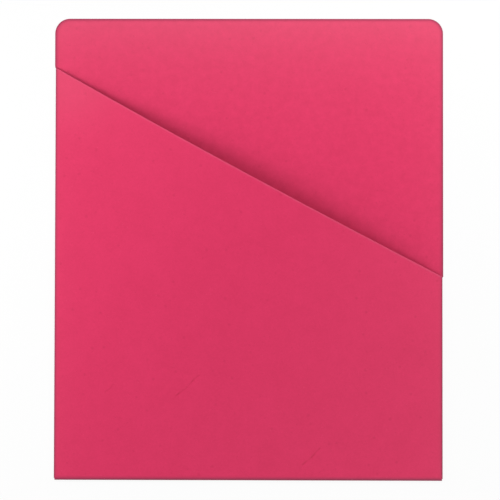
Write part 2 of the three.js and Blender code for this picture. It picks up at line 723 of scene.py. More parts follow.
@dataclass(frozen=True)
class CardStock:
    """Uncoated card dyed right through: cloudy formation, felt grain and flecks, with painted sheen, a
    painted highlight along the mouth that is partly paler bruised card, and painted shade along the
    outline, the folds and the creases.
    """

    dye: Colour = (0.66, 0.0165, 0.0962)
    deep_dye: Colour = (0.56, 0.0100, 0.0717)
    pale_dye: Colour = (0.74, 0.0250, 0.1224)
    contrast: float = 0.42
    clouds: tuple[Cloud, ...] = (
        Cloud(26 * MM, 2, 0.5),
        Cloud(7 * MM, 3, 0.75),
        Cloud(1.6 * MM, 2, 0.6),
        Cloud(0.3 * MM, 2, 0.8),
        Cloud(5 * MM, 1, 1.0, wire_side_only=True),
    )
    fibre_length: float = 2.2 * MM
    fibre_width: float = 0.18 * MM
    fibre_headings: tuple[float, ...] = (0.2, 1.3, 2.4)
    felt_tone: float = 2.6
    felt_depth: float = 0.06 * MM
    felt_relief: float = 0.6
    felt_roughness: float = 0.1
    roughness: float = 0.6
    gloss: float = 0.43
    flecks: tuple[Pair, ...] = ((9 * MM, 0.5), (5.6 * MM, 0.3))
    fleck_radius: float = 0.15
    fleck_core: float = 0.3
    # Painted sheen: a whitish tint, deepest at the top edge, along both sides and in one patch, standing
    # in for gloss from the lamps.
    sheen_tint: Colour = (0.95, 0.93, 0.90)
    top_sheen_depth: float = 0.0371
    top_sheen_reach: float = 31.6 * MM
    side_sheen_depth: float = 0.006
    side_sheen_reach: float = 12 * MM
    patch_sheen_depth: float = 0.0135
    # Painted highlight along the mouth's cut, partly paler bruised card, laid in patchy places.
    painted_light_and_wear: Colour = (0.66, 0.062, 0.150)
    highlight_and_wear_patch: float = 2.4 * MM
    highlight_and_wear_strength: float = 1.6
    # Painted shade towards the outline and over the folds.
    rim_shade: Colour = (0.315, 0.018, 0.068)
    # Painted shade in the creases' valleys.
    crease_shade: Colour = (0.50, 0.0005, 0.045)
    crease_shade_strength: float = 0.7

    def build(self, blank: Blank) -> bpy.types.Material:
        """Makes the card's material.

        Args:
            blank: The sizes of the jacket, for what depends on how near an edge is.

        Returns:
            The material, whose patterns lie in the card as they do in a made sheet.
        """
        graph = ShaderGraph("crimson_card")
        felt = self._felt(graph)
        shades = graph.blend(self._tone(graph, felt), self.deep_dye, self.pale_dye)
        colour = graph.blend(self.contrast, self.dye, shades)
        colour = self._flecks(graph, colour)
        # Painted sheen, whiter towards the top edge, both sides and one patch.
        colour = self._painted_sheen(graph, colour, blank)
        colour = self._painted_light_and_wear(graph, colour)
        smoothest = self.roughness - self.felt_roughness / 2
        looks = {
            "Base Color": colour,
            "Roughness": graph.math("MULTIPLY_ADD", felt, self.felt_roughness, smoothest, clamp=True),
            "Specular IOR Level": self.gloss,
            "Normal": graph.bump(felt, self.felt_depth, self.felt_relief),
        }
        return graph.principled(looks)

    def _felt(self, graph: ShaderGraph) -> Socket:
        """Crosses short fibres in some headings, as the felt side of a sheet has them.

        Args:
            graph: The material's nodes.

        Returns:
            Values about 0.5.
        """
        total: object = 0.0
        slimness = self.fibre_length / self.fibre_width
        for heading in self.fibre_headings:
            strand = graph.noise(self.fibre_length, slimness=slimness, heading=heading)
            total = graph.math("MULTIPLY_ADD", strand, 1 / len(self.fibre_headings), total)
        return total

    def _tone(self, graph: ShaderGraph, felt: Socket) -> Socket:
        """Mixes the felt and the clouds, from the slow formation down to the grain.

        Args:
            graph: The material's nodes.
            felt: The pattern of the felt.

        Returns:
            One value about 0.5, kept between 0 and 1.
        """
        wire_side = graph.mark("wire_side")
        layers: list[tuple[Socket, object]] = [(felt, self.felt_tone)]
        for cloud in self.clouds:
            weight: object = cloud.weight
            if cloud.wire_side_only:
                weight = graph.math("MULTIPLY", wire_side, weight)
            layers.append((graph.noise(cloud.size, cloud.detail), weight))
        total: object = 0.5
        for layer, weight in layers:
            centred = graph.math("SUBTRACT", layer, 0.5)
            total = graph.math("MULTIPLY_ADD", centred, weight, total)
        return graph.math("ADD", total, 0.0, clamp=True)

    def _flecks(self, graph: ShaderGraph, colour: Socket) -> Socket:
        """Sprinkles faint darker specks of undispersed dye over the card, at some sizes.

        Args:
            graph: The material's nodes.
            colour: The card's colour without them.

        Returns:
            The colour with them.
        """
        for spacing, strength in self.flecks:
            cells = {"Vector": graph.place, "Scale": 1 / spacing}
            settings = {"feature": "F1", "distance": "EUCLIDEAN"}
            distance = graph.wire("ShaderNodeTexVoronoi", cells, "Distance", **settings)
            speck = graph.ramp(distance, self.fleck_radius, self.fleck_radius * self.fleck_core)
            colour = graph.blend(graph.math("MULTIPLY", speck, strength), colour, self.deep_dye)
        return colour

    def _painted_sheen(self, graph: ShaderGraph, colour: Socket, blank: Blank) -> Socket:
        """Lays a painted sheen over the card: whiter towards the top edge, towards both sides, and in a
        patch that a mark sets.

        Args:
            graph: The material's nodes.
            colour: The card's colour without the painted sheen.
            blank: The sizes of the jacket.

        Returns:
            The colour with the painted sheen.
        """
        x, y, _ = graph.split(graph.place)
        aside = graph.math("ABSOLUTE", x)
        # Painted sheen: the whitish tint's depth, from the patch mark, the top edge and both sides.
        depth = graph.math("MULTIPLY", graph.mark("sheen_patch"), self.patch_sheen_depth)
        for place, edge, reach, strength in (
            (y, blank.top, self.top_sheen_reach, self.top_sheen_depth),
            (aside, blank.half_width, self.side_sheen_reach, self.side_sheen_depth),
        ):
            share = graph.math("DIVIDE", graph.math("SUBTRACT", place, edge), reach)
            depth = graph.math("MULTIPLY_ADD", graph.math("EXPONENT", share), strength, depth)
        return graph.blend(depth, colour, self.sheen_tint)

    def _painted_light_and_wear(self, graph: ShaderGraph, colour: Socket) -> Socket:
        """Paints a highlight, partly paler bruised card, along the mouth in patchy places, painted shade
        towards the outline and over the folds, and painted shade in the creases.

        Args:
            graph: The material's nodes.
            colour: The card's colour before these painted marks.

        Returns:
            The colour with them.
        """
        highlight_and_wear_patches = graph.math("MULTIPLY", graph.noise(self.highlight_and_wear_patch), self.highlight_and_wear_strength)
        # Painted highlight along the mouth, painted shade towards the outline and over the folds, and
        # painted shade in the creases.
        for mark, strength, tint in (
            ("highlight_and_wear", highlight_and_wear_patches, self.painted_light_and_wear),
            ("rim_shaded", 1.0, self.rim_shade),
            ("crease_shaded", self.crease_shade_strength, self.crease_shade),
        ):
            share = graph.math("MULTIPLY", graph.mark(mark), strength, clamp=True)
            colour = graph.blend(share, colour, tint)
        return colour


@dataclass(frozen=True)
class LooseFibre:
    """The finish of the short fibres in the card's surface and along its cuts."""

    tone: FibreTone
    pale: Colour = (0.80, 0.10, 0.20)
    deep: Colour = (0.40, 0.012, 0.05)
    patch: float = 0.4 * MM
    patch_depth: float = 0.75
    roughness: float = 0.7
    gloss: float = 0.35

    def build(self) -> bpy.types.Material:
        """Makes the fibre's material.

        Returns:
            The material, uneven in its dye along the fibre.
        """
        colour = self.pale if self.tone is FibreTone.PALE else self.deep
        darker = tuple(channel * self.patch_depth for channel in colour)
        graph = ShaderGraph(f"{self.tone.value}_fibre")
        looks = {
            "Base Color": graph.blend(graph.noise(self.patch), darker, colour),
            "Roughness": self.roughness,
            "Specular IOR Level": self.gloss,
        }
        return graph.principled(looks)


@dataclass(frozen=True)
class DriedGlue:
    """The finish of dried cold glue: a cream film with small bubbles, glossier than the card."""

    clear: Colour = (0.82, 0.74, 0.56)
    stained: Colour = (0.78, 0.42, 0.36)
    stain_size: float = 4 * MM
    stain_range: Pair = (0.42, 0.68)
    bubble_size: float = 0.7 * MM
    bubble_depth: float = 0.03 * MM
    bubble_roughness: float = 0.25
    detail: float = 3.0
    roughness: float = 0.25

    def build(self) -> bpy.types.Material:
        """Makes the glue's material.

        Returns:
            The material, stained in places by the dye of the card.
        """
        graph = ShaderGraph("dried_glue")
        stain = graph.ramp(graph.noise(self.stain_size, self.detail), *self.stain_range)
        film = graph.noise(self.bubble_size, self.detail)
        looks = {
            "Base Color": graph.blend(stain, self.clear, self.stained),
            "Roughness": graph.math("MULTIPLY_ADD", film, self.bubble_roughness, self.roughness),
            "Normal": graph.bump(film, self.bubble_depth),
        }
        return graph.principled(looks)


class Finishes:
    """The materials of the whole jacket, each made once."""

    def __init__(self, blank: Blank) -> None:
        """Makes the materials.

        Args:
            blank: The sizes of the jacket.
        """
        self.card = CardStock().build(blank)
        self.glue = DriedGlue().build()
        self.fibres = {tone: LooseFibre(tone).build() for tone in FibreTone}


class ShapeGraph(Graph):
    """A short way to write a geometry node tree with named inputs."""

    def __init__(self, name: str, **kinds: str) -> None:
        """Starts a tree that takes in geometry and named values, and gives geometry.

        Args:
            name: The tree's name.
            **kinds: The kind of each named input, whose name has underscores for its spaces.
        """
        super().__init__(bpy.data.node_groups.new(name, "GeometryNodeTree"))
        self.tree.is_modifier = True
        self.identifiers: dict[str, str] = {}
        for label, kind in {"Geometry": "Geometry", **kinds}.items():
            self._add_input(label.replace("_", " "), f"NodeSocket{kind}")
        self.tree.interface.new_socket(
            "Geometry", in_out="OUTPUT", socket_type="NodeSocketGeometry"
        )
        self.entry = self.add("NodeGroupInput")

    def _add_input(self, name: str, kind: str) -> None:
        """Adds one named input to the tree."""
        socket = self.tree.interface.new_socket(name, in_out="INPUT", socket_type=kind)
        self.identifiers[name] = socket.identifier

    def value(self, name: str) -> Socket:
        """Gives the output of a named input."""
        return self.entry.outputs[name]

    def random(self, low: object, high: object, seed: Socket, kind: str = "FLOAT") -> Socket:
        """Adds a random number or vector for each element."""
        values = {"Min": low, "Max": high, "Seed": seed}
        return self.wire("FunctionNodeRandomValue", values, "Value", data_type=kind)

    def moved(self, geometry: Socket, **places: Socket) -> Socket:
        """Moves the points of some geometry by an Offset, or to a Position."""
        return self.wire("GeometryNodeSetPosition", {"Geometry": geometry, **places})

    def finish(self, geometry: Socket) -> None:
        """Ends the tree: instances made real, then the finish set.

        Args:
            geometry: What the tree has made.
        """
        real = self.wire("GeometryNodeRealizeInstances", {"Geometry": geometry})
        dressed = {"Geometry": real, "Material": self.value("Finish")}
        self.add("NodeGroupOutput", {0: self.wire("GeometryNodeSetMaterial", dressed)})


def grow(
    name: str, host: bpy.types.Mesh, graph: ShapeGraph, values: dict[str, object]
) -> bpy.types.Object:
    """Runs a geometry node tree on a mesh and keeps the result as a plain mesh.

    Args:
        name: The new object's name.
        host: The mesh that the tree takes in.
        graph: The tree.
        values: The tree's inputs, by name.

    Returns:
        The new object, at the origin and without modifiers.
    """
    carrier = add_object(f"{name}_host", host)
    modifier = carrier.modifiers.new("grow", "NODES")
    modifier.node_group = graph.tree
    for key, value in values.items():
        modifier[graph.identifiers[key]] = value
    evaluated = carrier.evaluated_get(bpy.context.evaluated_depsgraph_get())
    mesh = bpy.data.meshes.new_from_object(evaluated)
    mesh.name = name
    bpy.data.objects.remove(carrier)
    return add_object(name, mesh)


def path_mesh(name: str, points: Array, closed: bool) -> bpy.types.Mesh:
    """Makes a mesh of edges alone.

    Args:
        name: The mesh's name.
        points: The points that the edges join, in order.
        closed: Whether the last point is joined to the first.

    Returns:
        The new mesh.
    """
    count = len(points)
    last = count if closed else count - 1
    edges = [(start, (start + 1) % count) for start in range(last)]
    mesh = bpy.data.meshes.new(name)
    mesh.from_pydata([tuple(point) for point in points], edges, [])
    return mesh


def settle(
    piece: bpy.types.Object, slot: Slot, *nodes: str, finish: bpy.types.Material | None = None
) -> bpy.types.Object:
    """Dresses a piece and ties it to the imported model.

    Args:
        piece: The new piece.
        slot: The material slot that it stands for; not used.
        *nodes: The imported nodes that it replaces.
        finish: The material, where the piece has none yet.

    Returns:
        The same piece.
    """
    if finish is not None:
        piece.data.materials.clear()
        piece.data.materials.append(finish)
    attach(piece, BODY)
    if nodes:
        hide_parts(*nodes)
    faces = len(piece.data.polygons)
    LOG.info("%s: %d faces, stands for %s", piece.name, faces, nodes or "nothing packed")
    return piece


@dataclass
class JacketPart:
    """What every part of the jacket is built from."""

    blank: Blank
    mouth: Mouth
    edge: CutEdge
    finishes: Finishes


@dataclass
class BackPanel(JacketPart):
    """The full-height sheet, with two rounded top corners and a shoulder at each end of the mouth."""

    corner_radius: float = 9.5 * MM
    corner_rows: int = 21
    left_shoulder: float = 2.0 * MM
    shoulder_rows: int = 8
    ledge_step: float = 0.01 * MM
    closest_rows: float = 0.003 * MM
    step: float = 3 * MM
    flat_rim: float = 20 * MM
    flat_margin: float = 15 * MM
    waviness: Waviness = Waviness(0.05 * MM)

    def shoulder(self, side: Side) -> Pair:
        """Gives how far the die-cut edge comes in at the end of the mouth, and over what height."""
        depth = self.blank.half_width - self.blank.fold_reach
        return depth, self.left_shoulder if side is Side.LEFT else depth

    def half_width_at(self, y: Array, side: Side) -> Array:
        """Gives how far the panel reaches to one side.

        Args:
            y: Places up the panel.
            side: The side of the jacket.

        Returns:
            Its reach from the middle of the jacket at those places.
        """
        blank = self.blank
        depth, height = self.shoulder(side)
        over = (y - self.mouth.step_y(side)) / height
        reach = np.where(over < 0, blank.fold_x, blank.fold_reach + depth * round_height(1 - over))
        into_corner = (y - (blank.top - self.corner_radius)) / self.corner_radius
        return reach - self.corner_radius * (1 - round_height(into_corner))

    def rows(self) -> Array:
        """Places the rows, closer together at the shoulders, the corners and the top edge.

        Returns:
            The rows' places up the jacket, in rising order.
        """
        blank = self.blank
        lines = [stations(blank.foot_y, blank.top - self.corner_radius, self.step)]
        rounded = 1 - np.cos(quarter_turn(self.shoulder_rows))
        for side in Side:
            step = self.mouth.step_y(side)
            lines += [[step - self.ledge_step], step + self.shoulder(side)[1] * rounded]
        turn = quarter_turn(self.corner_rows)
        lines.append(blank.top - self.corner_radius * (1 - np.sin(turn)))
        lines.append(blank.top - self.edge.lines())
        merged = np.unique(np.round(np.concatenate(lines), ROW_DIGITS))
        apart = np.diff(merged, prepend=merged[0] - 1) > self.closest_rows
        return merged[apart]

    def build(self) -> bpy.types.Object:
        """Makes the back panel.

        Returns:
            The new piece.
        """
        blank = self.blank
        rows = self.rows()
        rim = self.edge.lines()
        inner = blank.fold_x - rim[-1] - self.step / 2
        middle = stations(-inner, inner, self.step)
        left, right = (self.half_width_at(rows, side)[:, None] for side in Side)
        beyond = middle * np.where(middle < 0, left, right) / blank.fold_x
        columns = np.concatenate([rim - left, beyond, right - rim[::-1]], 1)
        plan = Plan.grid(columns, np.repeat(rows[:, None], columns.shape[1], 1))
        x, y = plan.points.T
        distance = self._from_cut(x, y)
        waves = (self.waviness.at(x, y) + self.waviness.height) * rising(distance, self.flat_rim)
        height = blank.card / 2 + waves * blank.freedom(x, y, blank.fold_x, self.flat_margin)
        marks = {
            # Painted shade towards the die-cut outline.
            "rim_shaded": self.edge.rim_shaded(distance),
            "from_rim": distance,
            "wire_side": np.ones_like(x),
        }
        half = self.edge.half_thickness(distance, blank.card)
        made = Sheet("back_sheet", plan, height, half, marks).build()
        return settle(made, Slot.CARD, "back_panel", finish=self.finishes.card)

    def _from_cut(self, x: Array, y: Array) -> Array:
        """Measures how far points lie from the nearest die-cut edge, which the folds aren't.

        Args:
            x: Places across the jacket.
            y: Places up the jacket.

        Returns:
            The distances.
        """
        blank = self.blank
        radius = self.corner_radius
        sides = [(self.half_width_at(y, side), y < self.mouth.step_y(side)) for side in Side]
        reach, folded = (np.where(x < 0, left, right) for left, right in zip(*sides))
        over = np.clip(np.abs(x) - (blank.half_width - radius), 0, None)
        up = np.clip(y - (blank.top - radius), 0, None)
        in_corner = (over > 0) & (up > 0)
        from_side = np.where(in_corner, radius - np.hypot(over, up), reach - np.abs(x))
        from_side = np.where(folded, blank.top, np.clip(from_side, 0, None))
        return np.minimum(from_side, blank.top - y)


@dataclass
class FrontPanel(JacketPart):
    """The lower sheet of the pocket, cut on a slant along its top and bowed up at the middle of it."""

    creases: tuple[Crease, ...]
    step: float = 3 * MM
    fine_step: float = 0.4 * MM
    seam_inset: float = 0.5 * MM
    # Painted sheen: a whitish patch round this place, near the left end of the mouth.
    sheen_patch_place: Pair = (-112 * MM, 103 * MM)
    sheen_patch_reach: float = 24 * MM
    flat_margin: float = 12 * MM
    waviness: Waviness = Waviness(0.06 * MM, seed=23)

    def build(self) -> bpy.types.Object:
        """Makes the front panel.

        Returns:
            The new piece.
        """
        blank = self.blank
        plan = self._grid()
        for crease in self.creases:
            plan = crease.refine(plan)
        x, y = plan.points.T
        below_cut = self.mouth.cut_y(x) - y
        distance = np.minimum(blank.panel_x - np.abs(x), below_cut)
        free = blank.freedom(x, y, blank.panel_x, self.flat_margin)
        height = self.mouth.card_middle(x, y, blank.pocket_gap) + self.waviness.at(x, y) * free
        for crease in self.creases:
            height = height + crease.relief(x, y)
        from_outline = np.minimum(blank.half_width - np.abs(x), y + blank.top)
        from_sheen_patch = np.hypot(x - self.sheen_patch_place[0], y - self.sheen_patch_place[1])
        marks = {
            # Painted highlight along the cut, partly paler bruised card.
            "highlight_and_wear": self.edge.highlight_and_wear(below_cut),
            # Painted shade towards the outline.
            "rim_shaded": self.edge.rim_shaded(from_outline - self.seam_inset),
            # Painted shade in the creases.
            "crease_shaded": sum(crease.painted_light_and_wear(x, y) for crease in self.creases),
            # Painted sheen patch.
            "sheen_patch": bell(from_sheen_patch, self.sheen_patch_reach),
            "from_rim": distance,
        }
        half = self.edge.half_thickness(distance, blank.card)
        made = Sheet("front_sheet", plan, height, half, marks).build()
        return settle(made, Slot.CARD, "front_panel", finish=self.finishes.card)

    def _grid(self) -> Plan:
        """Fans rows and columns out over the panel, from the foot fold up to the slanted cut.

        Returns:
            The plan, with lines closer together near the folds and the cut.
        """
        reach = self.blank.panel_x
        foot = self.blank.foot_y
        rim = self.edge.lines()
        zone = self.mouth.spring_zone
        zones = [(-reach, -reach + zone, self.fine_step), (reach - zone, reach, self.fine_step)]
        lines = stations(-reach, reach, self.step, zones)
        lines = lines[np.abs(lines) < reach - rim[-1] - self.fine_step / 2]
        across = np.concatenate([rim - reach, lines, reach - rim[::-1]])
        cut = self.mouth.cut_y(across)
        tall = float(cut.max() - foot)
        foot_zone = (0.0, zone / tall, self.fine_step / tall)
        up = stations(0.0, 1.0, self.step / tall, [foot_zone])
        body = foot + up[:-1, None] * (cut - rim[-1] - foot)
        y = np.concatenate([body, cut - rim[::-1, None]])
        return Plan.grid(np.repeat(across[None, :], len(y), 0), y)


@dataclass
class SideSeam(JacketPart):
    """One glue flap, turned in behind the front panel, and the dried glue that holds the panel to it."""

    side: Side
    step: float = 1.6 * MM
    shoulder_step: float = 0.4 * MM
    foot_taper: float = 6 * MM
    top_taper: float = 19 * MM
    squeeze: float = 0.55 * MM
    squeeze_length: float = 9 * MM
    squeeze_seed: int = 31
    film_columns: int = 12
    film_share: float = 0.84
    thin_share: float = 0.25
    edge_power: int = 6
    end_fade: float = 2 * MM

    def build(self) -> list[bpy.types.Object]:
        """Makes the flap and its glue line."""
        return [self._flap(), self._glue()]

    def _strip(self, node: str) -> tuple[float, float, float, float]:
        """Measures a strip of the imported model.

        Args:
            node: The strip's node.

        Returns:
            Its nearer and farther distance from the side fold, and its lower and upper end.
        """
        low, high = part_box(node)
        insets = sorted(self.blank.fold_x - abs(value) for value in (low.x, high.x))
        return insets[0], insets[1], low.y, high.y

    def _flap(self) -> bpy.types.Object:
        """Makes the flap, whose ends are cut on a slant so that it clears the foot and the mouth.

        Returns:
            The new piece.
        """
        blank = self.blank
        node = f"{self.side.label}_glue_flap"
        _, wide, foot, top = self._strip(node)
        rim = self.edge.lines()
        zone = self.mouth.spring_zone
        near = stations(0.0, zone, self.shoulder_step)
        beyond = stations(zone, wide - rim[-1], self.step)[1:-1]
        inset = np.concatenate([near, beyond, wide - rim[::-1]])
        foot_line = foot + self.foot_taper * inset / wide
        top_line = top - self.top_taper * inset / wide
        share = stations(0.0, 1.0, self.step / (top - foot))[1:-1, None]
        low_line, high_line = foot_line + rim[-1], top_line - rim[-1]
        body = low_line + share * (high_line - low_line)
        up = np.concatenate([foot_line + rim[:, None], body, top_line - rim[::-1, None]])
        inset, foot_line, top_line = (np.tile(line, len(up)) for line in (inset, foot_line, top_line))
        across = self.side.value * (blank.fold_x - inset)
        plan = Plan.grid(across.reshape(up.shape), up)
        x, y = plan.points.T
        distance = np.minimum(wide - inset, np.minimum(y - foot_line, top_line - y))
        height = self.mouth.card_middle(x, y, blank.flap_gap)
        half = self.edge.half_thickness(distance, blank.card)
        # Painted highlight along the flap's cut edges, partly paler bruised card.
        marks = {"highlight_and_wear": self.edge.highlight_and_wear(distance)}
        made = Sheet(f"{self.side.label}_flap_sheet", plan, height, half, marks).build()
        return settle(made, Slot.CARD, node, finish=self.finishes.card)

    def _glue(self) -> bpy.types.Object:
        """Makes the glue line, squeezed out unevenly along both of its edges.

        Returns:
            The new piece.
        """
        blank = self.blank
        node = f"{self.side.label}_glue_line"
        near, far, foot, top = self._strip(node)
        film = blank.pocket_gap - blank.flap_gap - blank.card
        along = stations(foot, top, self.step)
        random = np.random.default_rng(self.squeeze_seed + self.side.value)
        wander = [random.normal(size=len(along)) for _ in (near, far)]
        reach = max(1, round(self.squeeze_length / self.step))
        kernel = np.hanning(reach + 2)[1:-1]
        kernel = kernel / np.sqrt((kernel**2).sum())
        near_edge, far_edge = (
            base + sign * self.squeeze * np.tanh(np.convolve(noise, kernel, "same"))
            for base, sign, noise in ((near, -1, wander[0]), (far, 1, wander[1]))
        )
        share = np.linspace(0, 1, self.film_columns + 1)
        inset = near_edge[:, None] + share[None, :] * (far_edge - near_edge)[:, None]
        section = np.sqrt(np.clip(1 - (2 * share - 1) ** self.edge_power, 0, 1))
        across = self.side.value * (blank.fold_x - inset)
        plan = Plan.grid(across, np.repeat(along[:, None], len(share), 1))
        x, y = plan.points.T
        round_end = np.sqrt(rising(np.minimum(y - foot, top - y), self.end_fade))
        full = self.thin_share + (1 - self.thin_share) * np.tile(section, len(along)) * round_end
        half = film / 2 * self.film_share * full
        height = blank.card * 2 + blank.flap_gap + film / 2 + self.mouth.lift(x, y)
        made = Sheet(f"{self.side.label}_glue_film", plan, height, half, {}).build()
        return settle(made, Slot.ADHESIVE, node, finish=self.finishes.glue)


@dataclass
class ScoredFold:
    """A stretch of card turned half way round over a score line, swept along that line."""

    name: str
    node: str
    gap: float
    card: float
    outward: Vector
    stretch: float = 0.0
    arc_steps: int = 18
    length_step: float = 2.5 * MM
    wobble: float = 0.035 * MM
    wobble_size: float = 14 * MM

    def section(self) -> Array:
        """Draws the outline of the turned card, with the fold's round side towards minus X.

        Returns:
            The outline's points, in the XY plane.
        """
        turn = np.linspace(0.5 * math.pi, 1.5 * math.pi, self.arc_steps + 1)
        centre = self.card + self.gap / 2
        outer, inner = (
            np.stack([radius * np.cos(turn), centre + radius * np.sin(turn)], -1)
            for radius in (self.gap / 2 + self.card, self.gap / 2)
        )
        outline = np.concatenate([outer, inner[::-1]])
        return np.concatenate([outline, np.zeros((len(outline), 1))], 1)

    def build(self, tree: ShapeGraph, finishes: Finishes) -> bpy.types.Object:
        """Sweeps the section along the score line and sets it in its place.

        Args:
            tree: The tree that sweeps a section.
            finishes: The jacket's materials.

        Returns:
            The new piece.
        """
        low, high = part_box(self.node)
        high = high + Vector((0, self.stretch, 0))
        inward = -self.outward
        up = Vector((0, 0, 1))
        along = inward.cross(up)
        length = abs((high - low).dot(along))
        outer = self.gap / 2 + self.card
        middle = (low + high) / 2
        rim = max(self.outward.dot(low - middle), self.outward.dot(high - middle))
        centre = middle + self.outward * (rim - outer)
        values = {
            "Length": length,
            "Steps": max(2, round(length / self.length_step)),
            "Wobble": self.wobble,
            "Wobble Size": self.wobble_size,
            "Fold Radius": outer,
            "Finish": finishes.card,
        }
        made = grow(self.name, path_mesh(self.name, self.section(), True), tree, values)
        turn = Matrix((inward, up, along)).transposed().to_4x4()
        made.data.transform(Matrix.Translation(Vector((centre.x, centre.y, 0))) @ turn)
        smooth(made.data)
        return settle(made, Slot.CARD, self.node)


def fold_tree(detail: float = 3.0) -> ShapeGraph:
    """Writes the tree that sweeps a folded section along its score line.

    Args:
        detail: How many finer layers the fold's unevenness has.

    Returns:
        The tree, whose input mesh is the section's outline in the XY plane.
    """
    graph = ShapeGraph(
        "scored_fold",
        Length="Float",
        Steps="Int",
        Wobble="Float",
        Wobble_Size="Float",
        Fold_Radius="Float",
        Finish="Material",
    )
    half = graph.math("MULTIPLY", graph.value("Length"), 0.5)
    ends = {"Start": graph.combine(z=graph.math("MULTIPLY", half, -1.0)), "End": graph.combine(z=half)}
    line = graph.wire("GeometryNodeCurvePrimitiveLine", ends)
    path = graph.wire("GeometryNodeResampleCurve", {"Curve": line, "Count": graph.value("Steps")})
    outline = graph.wire("GeometryNodeMeshToCurve", {"Mesh": graph.value("Geometry")})
    swept = {"Curve": path, "Profile Curve": outline, "Fill Caps": True}
    fold = graph.wire("GeometryNodeCurveToMesh", swept)
    place = graph.wire("GeometryNodeInputPosition")
    share = graph.math("DIVIDE", graph.split(place)[0], graph.value("Fold Radius"))
    outer = graph.math("MULTIPLY", share, -1.0, clamp=True)
    scale = graph.math("DIVIDE", 1.0, graph.value("Wobble Size"))
    cloud = graph.wire("ShaderNodeTexNoise", {"Vector": place, "Scale": scale, "Detail": detail})
    push = graph.math("MULTIPLY", graph.math("MULTIPLY", cloud, graph.value("Wobble")), outer)
    uneven = graph.moved(fold, Offset=graph.combine(x=push))
    # Painted shade: the whole fold is marked to be darkened.
    stored = {"Geometry": uneven, "Name": "rim_shaded", "Value": 1.0}
    settings = {"data_type": "FLOAT", "domain": "POINT"}
    graph.finish(graph.wire("GeometryNodeStoreNamedAttribute", stored, **settings))
    return graph


